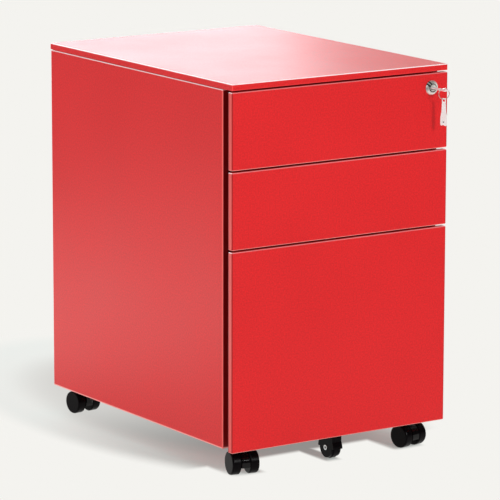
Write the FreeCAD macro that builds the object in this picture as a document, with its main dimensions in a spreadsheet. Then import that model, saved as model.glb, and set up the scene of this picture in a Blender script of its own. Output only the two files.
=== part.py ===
"""Steel mobile pedestal: a three-drawer filing cabinet on castors, built as separate pieces.

Millimetres, +Z up, the drawer fronts face -Y and +X is to the right of someone standing in front.
The origin is on the floor, under the middle of the case. Every piece is modelled closed and unlocked.
"""
import FreeCAD, Part
import math
import operator
import os

import Sketcher

SIZES = {
    # overall
    "width": 390, "depth": 520, "height": 596, "castor_headroom": 10,
    # case
    "steel": 1, "bend": 2, "cover_height": 9.5, "cover_return": 14, "cover_overhang": 2,
    "shadow_gap": 1.2, "front_flange": 10.5, "rear_flange": 15, "top_flange": 11,
    "deck_step": 11, "deck_rail": 8, "deck_side_gap": 2, "deck_front_gap": 3,
    "pan_lip": 13, "pan_play": 0.5,
    "upright_depth": 8, "upright_web": 28, "upright_foot": 8, "upright_setback": 8.5,
    "screw_radius": 2, "screw_head": 3.5, "screw_inset": 8, "screw_end": 24, "screw_grip": 2,
    # drawer fronts
    "front_thickness": 10, "front_gap": 3, "finger_gap": 15.5, "box_front_height": 115.5,
    "front_drop": 3, "front_round": 1.8, "front_return": 10,
    # drawer boxes
    "box_rise": 12, "file_rise": 25, "nut_room": 8.1, "file_rim_drop": 63.5, "hem": 8,
    "tray_length": 70, "tray_depth": 18, "tray_wall": 2, "tray_play": 0.5,
    "rail_spacing": 330, "rail_height": 6, "rail_steel": 1.5, "rail_inset": 1,
    # slides
    "slide_width": 12.7, "slide_rear_gap": 40, "slide_setback": 2.5, "slide_steel": 1.2,
    "slide_height": 35, "file_slide_height": 45, "file_slide_rise": 80, "slide_offset": 5,
    "ball": 4.7, "play": 0.3, "cage_steel": 0.8, "cage_room": 2,
    "box_slide_overlap": 120, "file_slide_overlap": 30,
    "outer_lip": 4, "inner_lip": 5, "cage_lip": 3.2, "cage_web": 2,
    "file_outer_lip": 4.7, "file_outer_cage_lip": 4.2, "file_middle_lip": 1.3,
    "file_inner_cage_lip": 1.7, "file_inner_cage_web": 0.7, "file_inner_lip": 0.8,
    # lock
    "lock_inset": 30.5, "lock_drop": 34, "bezel_radius": 11, "bezel_proud": 4, "bezel_step": 1,
    "bezel_land": 3, "bezel_slope": 1.2, "barrel_radius": 9, "barrel_length": 20,
    "nut_wall": 3, "nut_thickness": 4, "plug_radius": 6, "plug_proud": 0.6,
    "tail_half": 3.6, "tail_length": 4, "keyway_end": 4,
    "crank": 8, "crank_pin": 2, "crank_gap": 0.5, "crank_steel": 2, "crank_eye": 1.5, "crank_web": 2.8,
    "key_steel": 1.5, "key_blade": 8.6, "key_stem": 5.2, "key_neck": 15, "key_shoulder": 4, "key_tip": 5,
    "key_reach": 40, "key_hole_reach": 25, "key_hole": 3.5, "key_bow": 5.7, "key_corner": 2.5,
    "ring_radius": 8.9, "wire_radius": 0.6, "ring_drop": 1.6, "ring_side": 0.1, "ring_front": 0.7,
    "spare_length": 42, "spare_hole": 2.2, "spare_rim": 1.3, "spare_neck": 3, "spare_waist": 3.6,
    "spare_foot": 5.4, "spare_steel": 1.6, "spare_corner": 1.2,
    "rivet_radius": 2, "rivet_proud": 0.6, "rivet_rise": 5.5,
    # lock bar
    "bar_width": 5, "bar_depth": 3, "bar_gap": 1.5, "bar_end": 5, "bar_tail": 60,
    "slot_wall": 3.5, "slot_roof": 3, "slot_play": 0.6,
    "strike_height": 12, "strike_gap": 5.5, "strike_steel": 2, "strike_inset": 2.5, "strike_reach": 7,
    "strike_tab": 1.5, "notch": 8, "notch_floor": 3, "stud_lift": 5, "stud_reach": 6.5,
    "guide_steel": 0.7, "guide_half": 5, "guide_drop": 25,
    # castors
    "castor_inset": 44, "castor_front_setback": 49, "castor_rear_setback": 37, "castor_trail": 15,
    "castor_wheel": 18, "castor_tread": 14.5, "castor_track": 29, "castor_axle": 3,
    "tread_round": 1.5, "rim_round": 2.2, "wheel_cap": 2, "axle_end": 2.5,
    "hood_radius": 17.2, "hood_lift": 12, "hood_gap": 0.8, "neck_depth": 11,
    "collar_radius": 13, "collar_height": 3,
    "stem_radius": 5, "stem_length": 15,
    "socket_plate": 44, "socket_steel": 2, "socket_wall": 3, "socket_roof": 1.5,
    # anti-tilt wheel
    "tilt_wheel": 17, "tilt_tread": 10, "tilt_offset": 10, "tilt_setback": 39, "tilt_lift": 0.5,
    "fork_steel": 2, "fork_half": 22, "fork_lap": 22, "fork_drop": 3, "fork_gap": 0.6,
    "fork_hood": 2.4, "fork_neck": 17, "fork_cheek": 3, "axle_head": 1,
}

ORIGIN_PLANES = {"z": "XY_Plane", "y": "XZ_Plane", "x": "YZ_Plane"}
FIT = 0.1            # radial clearance of a pin or shaft that turns in its bore
CRANK_TURN = 90      # degrees that the key turns
CASTOR_TURNS = {"front_left": -11.6, "front_right": 9, "rear_left": 185.7, "rear_right": 165}
RING_TURN = -15      # the key ring's plane, turned about the vertical from the cabinet's width
SPARE_TURN = -60     # the spare key's blade, turned the same way
BALL_PLACES = (0.1, 0.5, 0.9)    # where a cage carries its balls, as shares of its length

doc = FreeCAD.newDocument("MobilePedestal")
sheet = doc.addObject("Spreadsheet::Sheet", "Sizes")
for row, (alias, number) in enumerate(SIZES.items(), start=1):
    sheet.set(f"A{row}", alias)
    sheet.set(f"B{row}", str(number))
    sheet.setAlias(f"B{row}", alias)
doc.recompute()
nodes = []


class Size:
    """A length that the document works out from the sheet: its expression and its present value."""

    def __init__(self, text, value):
        self.text = text
        self.value = value

    def joined(self, sign, other, work):
        other = as_size(other)
        return Size(f"({self.text} {sign} {other.text})", work(self.value, other.value))

    def __add__(self, other):
        return self.joined("+", other, operator.add)

    def __sub__(self, other):
        return self.joined("-", other, operator.sub)

    def __mul__(self, other):
        return self.joined("*", other, operator.mul)

    def __truediv__(self, other):
        return self.joined("/", other, operator.truediv)

    def __radd__(self, other):
        return as_size(other) + self

    def __rsub__(self, other):
        return as_size(other) - self

    def __rmul__(self, other):
        return as_size(other) * self

    def __neg__(self):
        return as_size(0) - self


def as_size(number):
    """A bare number as a Size, so that both can be mixed."""
    return number if isinstance(number, Size) else Size(f"({number:.6g})", float(number))


def cell(alias):
    """The Size held by one cell of the sheet."""
    return Size(f"Sizes.{alias}", float(sheet.get(alias)))


def bind(thing, prop, size):
    """Ties one property of a document object to a Size."""
    thing.setExpression(prop, as_size(size).text)


# ---------------------------------------------------------------- modelling helpers

def new_body(label):
    """An empty body that becomes one piece."""
    body = doc.addObject("PartDesign::Body", label)
    body.Label = label
    return body


def as_node(thing, label=None):
    """Marks a document object as a sub-part to be written out."""
    if label:
        thing.Label = label
    nodes.append(thing)
    return thing


def new_sketch(body, axis, level):
    """A sketch on the body's origin plane across the axis, moved along that axis to level."""
    sketch = body.newObject("Sketcher::SketchObject", body.Name + "_sketch")
    plane = next(f for f in body.Origin.OriginFeatures if f.Role == ORIGIN_PLANES[axis])
    sketch.AttachmentSupport = [(plane, "")]
    sketch.MapMode = "FlatFace"
    bind(sketch, "AttachmentOffset.Base.z", -level if axis == "y" else level)
    return sketch


def pin_point(sketch, index, end, point):
    """Fixes a sketch point at its distances from the sketch's origin."""
    for kind, size in zip(("DistanceX", "DistanceY"), point):
        size = as_size(size)
        row = sketch.addConstraint(Sketcher.Constraint(kind, -1, 1, index, end, size.value))
        sketch.setExpression(f"Constraints[{row}]", size.text)


def draw_outline(sketch, corners):
    """A closed outline of straight lines through the corners."""
    spots = [FreeCAD.Vector(as_size(a).value, as_size(b).value, 0) for a, b in corners]
    first = sketch.GeometryCount
    count = len(corners)
    for k in range(count):
        sketch.addGeometry(Part.LineSegment(spots[k], spots[(k + 1) % count]), False)
    for k in range(count):
        follower = first + (k + 1) % count
        sketch.addConstraint(Sketcher.Constraint("Coincident", first + k, 2, follower, 1))
    for k in range(count):
        pin_point(sketch, first + k, 1, corners[k])


def draw_circle(sketch, centre, radius):
    """A circle with its centre and radius bound to sizes."""
    spot = FreeCAD.Vector(as_size(centre[0]).value, as_size(centre[1]).value, 0)
    radius = as_size(radius)
    circle = sketch.addGeometry(Part.Circle(spot, FreeCAD.Vector(0, 0, 1), radius.value), False)
    row = sketch.addConstraint(Sketcher.Constraint("Radius", circle, radius.value))
    sketch.setExpression(f"Constraints[{row}]", radius.text)
    pin_point(sketch, circle, 3, centre)


def add_pad(body, axis, low, high, draw, *shape):
    """Adds the drawn shape between two levels of an axis."""
    sketch = new_sketch(body, axis, high if axis == "y" else low)
    draw(sketch, *shape)
    pad = body.newObject("PartDesign::Pad", body.Name + "_pad")
    pad.Profile = sketch
    bind(pad, "Length", high - low)
    return pad


def cut_pocket(body, axis, low, high, draw, *shape):
    """Cuts the drawn shape between two levels of an axis, and makes sure that it cut something."""
    doc.recompute()
    before = body.Shape.Volume
    sketch = new_sketch(body, axis, low if axis == "y" else high)
    draw(sketch, *shape)
    pocket = body.newObject("PartDesign::Pocket", body.Name + "_pocket")
    pocket.Profile = sketch
    bind(pocket, "Length", high - low)
    doc.recompute()
    if body.Shape.Volume >= before:
        raise ValueError(f"a pocket cuts nothing in {body.Label}")


def rectangle(a_low, a_high, b_low, b_high):
    """The four corners of a rectangle in a sketch."""
    return [(a_low, b_low), (a_high, b_low), (a_high, b_high), (a_low, b_high)]


def add_block(body, x, y, z):
    """Adds a block between (low, high) pairs along X, Y and Z."""
    add_pad(body, "z", as_size(z[0]), as_size(z[1]), draw_outline, rectangle(*x, *y))


def cut_block(body, x, y, z):
    """Cuts a block between (low, high) pairs along X, Y and Z."""
    cut_pocket(body, "z", as_size(z[0]), as_size(z[1]), draw_outline, rectangle(*x, *y))


def add_rod(body, axis, span, centre, radius):
    """Adds a round rod along an axis."""
    add_pad(body, axis, as_size(span[0]), as_size(span[1]), draw_circle, centre, radius)


def cut_bore(body, axis, span, centre, radius):
    """Cuts a round hole along an axis."""
    cut_pocket(body, axis, as_size(span[0]), as_size(span[1]), draw_circle, centre, radius)


def around(centre, reach):
    """The (low, high) pair that lies reach to each side of a centre."""
    return (centre - reach, centre + reach)


def add_turned(body, axis, corners):
    """Adds a solid turned about a sketch axis; corners are (along the axis, radius) pairs.

    The sketch lies on the plane across Z, so axis "H_Axis" is X and "V_Axis" is Y.
    """
    sketch = new_sketch(body, "z", as_size(0))
    swap = axis == "V_Axis"
    draw_outline(sketch, [(r, a) if swap else (a, r) for a, r in corners])
    turn = body.newObject("PartDesign::Revolution", body.Name + "_turn")
    turn.Profile = sketch
    turn.ReferenceAxis = (sketch, [axis])
    turn.Angle = 360


def dress(body, kind, radius, wanted):
    """Rounds or bevels the edges of the body whose bounding box passes the test."""
    doc.recompute()
    tip = body.Tip
    edges = [f"Edge{i}" for i, e in enumerate(body.Shape.Edges, start=1) if wanted(e.BoundBox)]
    if not edges:
        raise ValueError(f"no edge to dress in {body.Label}")
    feature = body.newObject("PartDesign::" + kind, body.Name + "_" + kind.lower())
    feature.Base = (tip, edges)
    bind(feature, "Radius" if kind == "Fillet" else "Size", radius)


def at(value, size):
    """Whether a measured coordinate lies at a size."""
    return abs(value - as_size(size).value) < 0.01


def flat_at(low, high, size):
    """Whether an edge's extent along one axis is a single value, the size."""
    return at(low, size) and at(high, size)


def place(thing, x=0, y=0, z=0, turn=0):
    """Puts a piece at its station, turned about the vertical."""
    spot = FreeCAD.Vector(*(as_size(size).value for size in (x, y, z)))
    thing.Placement = FreeCAD.Placement(spot, FreeCAD.Rotation(FreeCAD.Vector(0, 0, 1), turn))
    for name, size in zip("xyz", (x, y, z)):
        bind(thing, f"Placement.Base.{name}", size)


def mirrored(thing, label):
    """A copy of a piece on the other side of the cabinet's middle plane."""
    mirror = doc.addObject("Part::Mirroring", label)
    mirror.Source = thing
    mirror.Normal = FreeCAD.Vector(1, 0, 0)
    mirror.Label = label
    return mirror


def grouped(pieces, label):
    """One sub-part made of several like pieces."""
    group = doc.addObject("Part::Compound", label)
    group.Links = pieces
    return as_node(group, label)


def mirrored_pair(piece, label):
    """One sub-part made of a right-hand piece and its left-hand twin."""
    return grouped([piece, mirrored(piece, label + "_left")], label)


# ---------------------------------------------------------------- shared places

steel, bend, play = cell("steel"), cell("bend"), cell("play")
half_width, half_depth, height = cell("width") / 2, cell("depth") / 2, cell("height")
front_face = -half_depth
front_back = front_face + cell("front_thickness")
case_front = front_back + cell("finger_gap")
case_rear = half_depth - cell("cover_overhang")
case_bottom = 2 * cell("castor_wheel") + cell("castor_headroom")
cover_bottom = height - cell("cover_height")
case_top = cover_bottom - cell("shadow_gap")
inner_half = half_width - steel
flange_half = half_width - cell("front_flange")
slide_face = inner_half - cell("upright_depth")
box_half = slide_face - cell("slide_width")
slide_front = case_front + cell("slide_setback")
slide_length = case_rear - cell("slide_rear_gap") - slide_front
slide_start = front_back + cell("slide_offset")
box_travel = slide_length - cell("box_slide_overlap")
file_travel = slide_length - cell("file_slide_overlap")
pan_bottom = case_bottom + steel
pan_top = pan_bottom + steel
panel_back = case_rear - steel

front_gap, box_front = cell("front_gap"), cell("box_front_height")
top_front = (cover_bottom - front_gap - box_front, cover_bottom - front_gap)
middle_front = (top_front[0] - front_gap - box_front, top_front[0] - front_gap)
file_front = (case_bottom - cell("front_drop"), middle_front[0] - front_gap)

lock_x = half_width - cell("lock_inset")
lock_z = height - cell("lock_drop")
nut_corner = (cell("barrel_radius") + cell("nut_wall")) / math.cos(math.pi / 6)
box_rim_drop = top_front[1] - lock_z + nut_corner + cell("nut_room")
crank_swing = cell("crank") * math.sin(math.radians(CRANK_TURN / 2))
bar_x = (inner_half - cell("bar_width") - cell("bar_gap"), inner_half - cell("bar_gap"))
bar_start = case_front + 2 * steel
bar_y = (bar_start, bar_start + cell("bar_depth"))
bar_middle_y = bar_y[0] + cell("bar_depth") / 2
bar_top = lock_z + crank_swing + cell("bar_end")

castor_x = half_width - cell("castor_inset")
castor_front_y = front_face + cell("castor_front_setback")
castor_rear_y = half_depth - cell("castor_rear_setback")
tilt_y = front_face + cell("tilt_setback")


# ---------------------------------------------------------------- case

def make_top_cover():
    """Folded steel cover: a shallow pan turned upside down, with a return all round its underside."""
    body = new_body("top_cover")
    add_block(body, (-half_width, half_width), (-half_depth, half_depth), (cover_bottom, height))
    dress(body, "Fillet", bend, lambda b: b.ZLength > steel.value)
    dress(body, "Fillet", bend, lambda b: flat_at(b.ZMin, b.ZMax, height))
    inside = [(around(0, half_width - edge), around(0, half_depth - edge))
              for edge in (cell("cover_return"), steel)]
    cut_block(body, *inside[0], (cover_bottom, height - steel))
    cut_block(body, *inside[1], (cover_bottom + steel, height - steel))
    as_node(body)


def make_top_deck():
    """Formed sheet under the cover: it lies on the side panels' top flanges and carries the cover."""
    body = new_body("top_deck")
    raised = half_width - cell("deck_step")
    foot_end = inner_half - cell("deck_side_gap")
    foot_front = case_front + steel + cell("deck_front_gap")
    ends = (case_front + steel, panel_back - steel)
    add_block(body, around(0, raised), ends, (cover_bottom - steel, cover_bottom))
    for side in (-1, 1):
        step = sorted((side * raised, side * (raised - steel)), key=lambda s: s.value)
        foot = sorted((side * (raised - steel), side * foot_end), key=lambda s: s.value)
        add_block(body, step, ends, (case_top, cover_bottom))
        add_block(body, foot, (foot_front, ends[1]), (case_top, case_top + steel))
    rail_bottom = cover_bottom - cell("deck_rail")
    narrow = around(0, raised - steel)
    add_block(body, narrow, (ends[0], ends[0] + steel), (rail_bottom, cover_bottom))
    add_block(body, narrow, (ends[1] - steel, ends[1]), (rail_bottom, cover_bottom))
    as_node(body)


def screw_places():
    """Heights of the rear screws on each side, from the case's own height."""
    end = cell("screw_end")
    return [case_bottom + end, (case_bottom + case_top) / 2, case_top - end]


def drill_rear(body, y_span, sides):
    """Clearance holes for the screws that join the back panel to the side panels."""
    for side in sides:
        for level in screw_places():
            centre = (side * (half_width - cell("screw_inset")), level)
            cut_bore(body, "y", y_span, centre, cell("screw_radius") + FIT)


def make_side_panel(label, side):
    """Side of the case: one sheet with its four edges folded inward; side is 1 right, -1 left."""
    body = new_body(label)
    rear_edge = half_width - cell("rear_flange")
    outline = [(flange_half, case_front), (half_width, case_front), (half_width, case_rear),
               (rear_edge, case_rear), (rear_edge, panel_back), (inner_half, panel_back),
               (inner_half, case_front + steel), (flange_half, case_front + steel)]
    add_pad(body, "z", case_bottom, case_top, draw_outline, [(side * x, y) for x, y in outline])
    for low, reach in ((case_top - steel, cell("top_flange")), (case_bottom, cell("rear_flange"))):
        lip = sorted((side * (half_width - reach), side * inner_half), key=lambda s: s.value)
        add_block(body, lip, (case_front + steel, panel_back), (low, low + steel))
    outer = side * half_width
    dress(body, "Fillet", bend, lambda b: flat_at(b.XMin, b.XMax, outer) and b.ZLength > 10)
    dress(body, "Fillet", bend, lambda b: flat_at(b.XMin, b.XMax, outer)
          and flat_at(b.ZMin, b.ZMax, case_top))
    drill_rear(body, (panel_back - 1, case_rear + 1), (side,))
    as_node(body)


def make_back_panel():
    """Flat sheet that closes the rear, held against the side panels' rear flanges."""
    body = new_body("back_panel")
    gap = cell("pan_play")
    add_block(body, around(0, inner_half - gap), (panel_back - steel, panel_back),
              (pan_top + gap, case_top - steel - gap))
    drill_rear(body, (panel_back - steel - 1, panel_back + 1), (-1, 1))
    as_node(body)


def make_base_pan():
    """Floor of the case, with a lip at each end and holes for the castor sockets."""
    body = new_body("base_pan")
    gap = cell("pan_play")
    front = case_front + steel + gap
    rear = panel_back - steel
    bore = cell("stem_radius") + cell("socket_wall") + FIT
    lip_top = pan_bottom + cell("pan_lip")
    add_block(body, around(0, inner_half - gap), (front + steel, rear), (pan_bottom, pan_top))
    add_block(body, around(0, flange_half), (front, front + steel), (pan_bottom, lip_top))
    add_block(body, around(0, flange_half), (rear - steel, rear), (pan_bottom, lip_top))
    for x, y in castor_places().values():
        cut_bore(body, "z", (pan_bottom, pan_top), (x, y), bore)
    as_node(body)


def make_uprights():
    """Four hat-section channels on the side panels, which carry the slides."""
    near = case_front + cell("upright_setback")
    web, foot = cell("upright_web"), cell("upright_foot")
    far = slide_front + slide_length - web - 2 * foot
    pieces = []
    for name, start in (("front", near), ("rear", far)):
        body = new_body(name + "_upright")
        a, b = start + foot, start + foot + web
        end = b + foot
        outline = [(inner_half, start), (inner_half, a + steel), (slide_face + steel, a + steel),
                   (slide_face + steel, b - steel), (inner_half, b - steel), (inner_half, end),
                   (inner_half - steel, end), (inner_half - steel, b), (slide_face, b),
                   (slide_face, a), (inner_half - steel, a), (inner_half - steel, start)]
        add_pad(body, "z", pan_top, case_top - steel, draw_outline, outline)
        pieces += [body, mirrored(body, name + "_upright_left")]
    grouped(pieces, "slide_uprights")


def make_cabinet_screws():
    """Pan-head screws that hold the back panel."""
    pieces = []
    for k, level in enumerate(screw_places()):
        body = new_body(f"screw_{k + 1}")
        centre = (half_width - cell("screw_inset"), level)
        add_rod(body, "y", (case_rear, half_depth), centre, cell("screw_head"))
        add_rod(body, "y", (panel_back - steel - cell("screw_grip"), case_rear), centre,
                cell("screw_radius"))
        dress(body, "Fillet", steel / 2, lambda b: flat_at(b.YMin, b.YMax, half_depth))
        pieces += [body, mirrored(body, f"screw_{k + 1}_left")]
    grouped(pieces, "cabinet_screws")


def castor_places():
    """Swivel centre of each castor."""
    return {"front_left": (-castor_x, castor_front_y), "front_right": (castor_x, castor_front_y),
            "rear_left": (-castor_x, castor_rear_y), "rear_right": (castor_x, castor_rear_y)}


def make_castor_sockets():
    """Four plates under the base pan, each with a tube that takes a castor's stem."""
    pieces = []
    plate_bottom = pan_bottom - cell("socket_steel")
    reach = cell("socket_plate") / 2
    tube_top = plate_bottom + cell("stem_length") + cell("socket_wall")
    for name, (x, y) in castor_places().items():
        body = new_body(name + "_socket")
        add_block(body, around(x, reach), around(y, reach), (plate_bottom, pan_bottom))
        add_rod(body, "z", (pan_bottom, tube_top), (x, y), cell("stem_radius") + cell("socket_wall"))
        cut_bore(body, "z", (plate_bottom, tube_top - cell("socket_roof")), (x, y),
                 cell("stem_radius") + FIT)
        pieces.append(body)
    grouped(pieces, "castor_sockets")


# ---------------------------------------------------------------- slides

def channel(label, y_span, web, lip, reach, thick, level):
    """One rolled slide member: a web across X with a lip at its top and bottom edge.

    web and lip are the X places of the web's outer face and of the lips' free ends.
    """
    body = new_body(label)
    inner = web + thick if lip.value > web.value else web - thick
    outline = [(web, level - reach), (lip, level - reach), (lip, level - reach + thick),
               (inner, level - reach + thick), (inner, level + reach - thick),
               (lip, level + reach - thick), (lip, level + reach), (web, level + reach)]
    add_pad(body, "y", *y_span, draw_outline, outline)
    return body


def cage(label, y_span, web, lip, row_reach, level):
    """Ball cage: a thin channel whose lips hold two rows of balls between two members."""
    thick = cell("cage_steel")
    body = channel(label, y_span, web, lip, row_reach + thick / 2, thick, level)
    row_x = (web + lip) / 2
    length = y_span[1] - y_span[0]
    places = [y_span[0] + length * share for share in BALL_PLACES]
    pieces = [body]
    for k, y in enumerate(places):
        cut_bore(body, "z", (level - row_reach - 1, level + row_reach + 1), (row_x, y),
                 cell("ball") / 2 + FIT)
        for row, sign in (("upper", 1), ("lower", -1)):
            ball = doc.addObject("Part::Sphere", f"{label}_{row}_{k + 1}")
            bind(ball, "Radius", cell("ball") / 2)
            place(ball, row_x, y, level + sign * row_reach)
            pieces.append(ball)
    return pieces


def grouped_both_sides(pieces, label):
    """One sub-part made of right-hand pieces and their left-hand twins."""
    twins = [mirrored(piece, piece.Name + "_left") for piece in pieces]
    grouped(pieces + twins, label)


def make_box_slides(name, level):
    """Two-member slides of one box drawer: outer on the uprights, inner on the box, balls between."""
    thick, gap = cell("slide_steel"), cell("ball") + 2 * play
    outer_reach = cell("slide_height") / 2
    inner_reach = outer_reach - thick - gap
    outer_span = (slide_front, slide_front + slide_length)
    inner_span = (slide_start, slide_start + slide_length)
    outer = channel(name + "_slide_outer", outer_span, slide_face, box_half + cell("outer_lip"),
                    outer_reach, thick, level)
    mirrored_pair(outer, name + "_slide_outers")
    inner = channel(name + "_slide_inner", inner_span, box_half, slide_face - cell("inner_lip"),
                    inner_reach, thick, level)
    mirrored_pair(inner, name + "_slide_inners")
    room = box_travel / 2 + cell("cage_room")
    pieces = cage(name + "_cage", (outer_span[0] + room, inner_span[1] - room),
                  slide_face - thick - cell("cage_web"), box_half + cell("cage_lip"),
                  inner_reach + gap / 2, level)
    grouped_both_sides(pieces, name + "_slide_cages")


def make_file_slides(level):
    """Three-member full-extension slides of the file drawer, with a ball cage in each stage."""
    thick, gap = cell("slide_steel"), cell("ball") + 2 * play
    outer_reach = cell("file_slide_height") / 2
    middle_reach = outer_reach - thick - gap
    inner_reach = middle_reach - thick - gap
    outer_span = (slide_front, slide_front + slide_length)
    inner_span = (slide_start, slide_start + slide_length)
    middle_web = slide_face - 3 * thick
    outer = channel("file_slide_outer", outer_span, slide_face, box_half + cell("file_outer_lip"),
                    outer_reach, thick, level)
    mirrored_pair(outer, "file_slide_outers")
    middle = channel("file_slide_middle", outer_span, middle_web, box_half + cell("file_middle_lip"),
                     middle_reach, thick, level)
    mirrored_pair(middle, "file_slide_middles")
    inner = channel("file_slide_inner", inner_span, box_half,
                    middle_web - 2 * thick - cell("file_inner_lip"), inner_reach, thick, level)
    mirrored_pair(inner, "file_slide_inners")
    room = file_travel / 4 + cell("cage_room")
    pieces = cage("file_outer_cage", (outer_span[0] + room, outer_span[1] - room),
                  slide_face - thick - cell("cage_steel"), box_half + cell("file_outer_cage_lip"),
                  middle_reach + gap / 2, level)
    grouped_both_sides(pieces, "file_slide_outer_cages")
    pieces = cage("file_inner_cage", (outer_span[0] + room, inner_span[1] - room),
                  middle_web - thick - cell("file_inner_cage_web"),
                  box_half + cell("file_inner_cage_lip"), inner_reach + gap / 2, level)
    grouped_both_sides(pieces, "file_slide_inner_cages")


# ---------------------------------------------------------------- drawers

def lock_hole(body, y_span):
    """Clearance hole for the lock barrel."""
    cut_bore(body, "y", y_span, (lock_x, lock_z), cell("barrel_radius") + FIT)


def make_drawer_front(name, z_span):
    """Drawer front: a folded pan with rounded edges, its rear closed by a stepped liner.

    The top one is bored for the lock. Returns the liner, which the lock strike is welded to.
    """
    low, high = z_span
    front = new_body(name + "_drawer_front")
    add_block(front, around(0, half_width), (front_face, front_back), (low, high))
    dress(front, "Fillet", cell("front_round"), lambda b: at(b.YMin, front_face)
          and (at(b.YMax, front_back) or at(b.YMax, front_face)))
    back_sheet = (front_back - steel, front_back)
    edge = cell("front_return")
    hollow = (front_face + steel, front_back - steel)
    cut_block(front, around(0, half_width - edge), (front_face + steel, front_back),
              (low + edge, high - edge))
    cut_block(front, around(0, inner_half), hollow, (low + steel, high - steel))
    liner = new_body(name + "_liner_sheet")
    inset = edge + play
    add_block(liner, around(0, half_width - inset), back_sheet, (low + inset, high - inset))
    behind = (front_back - 2 * steel, front_back - steel)
    rim = inset + steel
    add_block(liner, around(0, half_width - edge / 2), behind, (low + edge / 2, high - edge / 2))
    cut_block(liner, around(0, half_width - rim), behind, (low + rim, high - rim))
    if name == "top":
        lock_hole(front, (front_face, front_face + steel))
        lock_hole(liner, back_sheet)
    as_node(front)
    return liner


def make_strike(name, low):
    """Lock strike, welded to a liner: an arm that reaches into the case, notched for the bar's stud."""
    outer = flange_half - cell("strike_inset")
    arm_x = (outer - cell("strike_steel"), outer)
    tab_x = (box_half + cell("strike_tab"), outer)
    z_span = (low, low + cell("strike_height"))
    strike = new_body(name + "_lock_strike")
    add_block(strike, tab_x, (front_back, front_back + cell("strike_tab")), z_span)
    add_block(strike, arm_x, (front_back, bar_y[1] + cell("strike_reach")), z_span)
    cut_block(strike, arm_x, around(bar_middle_y, cell("notch") / 2), (low + cell("notch_floor"), z_span[1]))
    return strike


def make_drawer_box(name, z_span):
    """Drawer box: a folded steel tray with a hemmed rim."""
    body = new_body(name + "_drawer_box")
    y_span = (front_back, front_back + slide_length)
    bottom, top = z_span
    add_block(body, around(0, box_half), y_span, (bottom, top))
    rim = 2 * steel
    cut_block(body, around(0, box_half - rim), (y_span[0] + rim, y_span[1] - rim), (bottom + steel, top))
    cut_block(body, around(0, box_half - steel), (y_span[0] + steel, y_span[1] - steel),
              (bottom + steel, top - cell("hem")))
    as_node(body)


def make_pencil_tray(rim_top):
    """Plastic tray with three compartments that hangs on the top drawer's rim."""
    body = new_body("pencil_tray")
    wall = cell("tray_wall")
    front = front_back + 2 * steel + play
    rear = front + cell("tray_length")
    tub_half = box_half - 2 * steel - play
    tub_bottom = rim_top - cell("tray_depth")
    gap = cell("tray_play")
    add_block(body, around(0, box_half - gap), (front_back + gap, rear), (rim_top, rim_top + wall))
    add_block(body, around(0, tub_half), (front, rear), (tub_bottom, rim_top))
    clear = tub_half - wall
    splits = [-clear, -clear / 3 - wall / 2, -clear / 3 + wall / 2, clear / 3 - wall / 2,
              clear / 3 + wall / 2, clear]
    for left, right in zip(splits[::2], splits[1::2]):
        cut_block(body, (left, right), (front + wall, rear - wall), (tub_bottom + wall, rim_top + wall))
    as_node(body)


def make_file_rails(rim_top):
    """Two rails on the file drawer's rim that hanging folders hook over."""
    body = new_body("hanging_file_rail")
    inner = cell("rail_spacing") / 2
    inset, thick = cell("rail_inset"), cell("rail_steel")
    y_span = (front_back + inset, front_back + slide_length - inset)
    add_block(body, (inner, box_half), y_span, (rim_top, rim_top + thick))
    add_block(body, (inner, inner + thick), y_span, (rim_top, rim_top + cell("rail_height")))
    mirrored_pair(body, "hanging_file_rails")


# ---------------------------------------------------------------- lock and keys

def make_lock_barrel():
    """Chromed lock barrel: a domed bezel in front of the drawer and a body through it."""
    body = new_body("lock_barrel")
    bezel, proud = cell("bezel_radius"), cell("bezel_proud")
    step, length = cell("bezel_step"), cell("barrel_length")
    bore, outer = cell("plug_radius") + FIT, cell("barrel_radius")
    add_turned(body, "V_Axis", [(-proud, bore), (-proud, bezel - cell("bezel_land")),
                                (-proud + step, bezel - cell("bezel_slope")), (-step, bezel),
                                (0, bezel), (0, outer), (length, outer), (length, bore)])
    place(body, lock_x, front_face, lock_z)
    as_node(body)


def make_lock_nut():
    """Hexagon nut that clamps the barrel against the liner."""
    body = new_body("lock_nut")
    turns = [k * math.pi / 3 for k in range(6)]
    ring = [(nut_corner * math.cos(turn), nut_corner * math.sin(turn)) for turn in turns]
    thick = cell("nut_thickness")
    add_pad(body, "y", 0 * thick, thick, draw_outline, ring)
    cut_bore(body, "y", (-thick, 2 * thick), (0, 0), cell("barrel_radius") + FIT)
    place(body, lock_x, front_back, lock_z)
    as_node(body)


def make_lock_plug():
    """Turning plug with its keyway, and a square tail behind the barrel for the crank."""
    body = new_body("lock_plug")
    length = cell("barrel_length")
    face = -cell("bezel_proud") - cell("plug_proud")
    tail = around(0, cell("tail_half"))
    add_rod(body, "y", (face, length), (0, 0), cell("plug_radius"))
    add_block(body, tail, (length, length + cell("tail_length")), tail)
    blade, thick = cell("key_blade") / 2 + FIT, cell("key_steel") / 2 + FIT / 2
    cut_block(body, around(0, blade), (face, length - cell("keyway_end")), around(0, thick))
    place(body, lock_x, front_face, lock_z)
    as_node(body)


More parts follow.
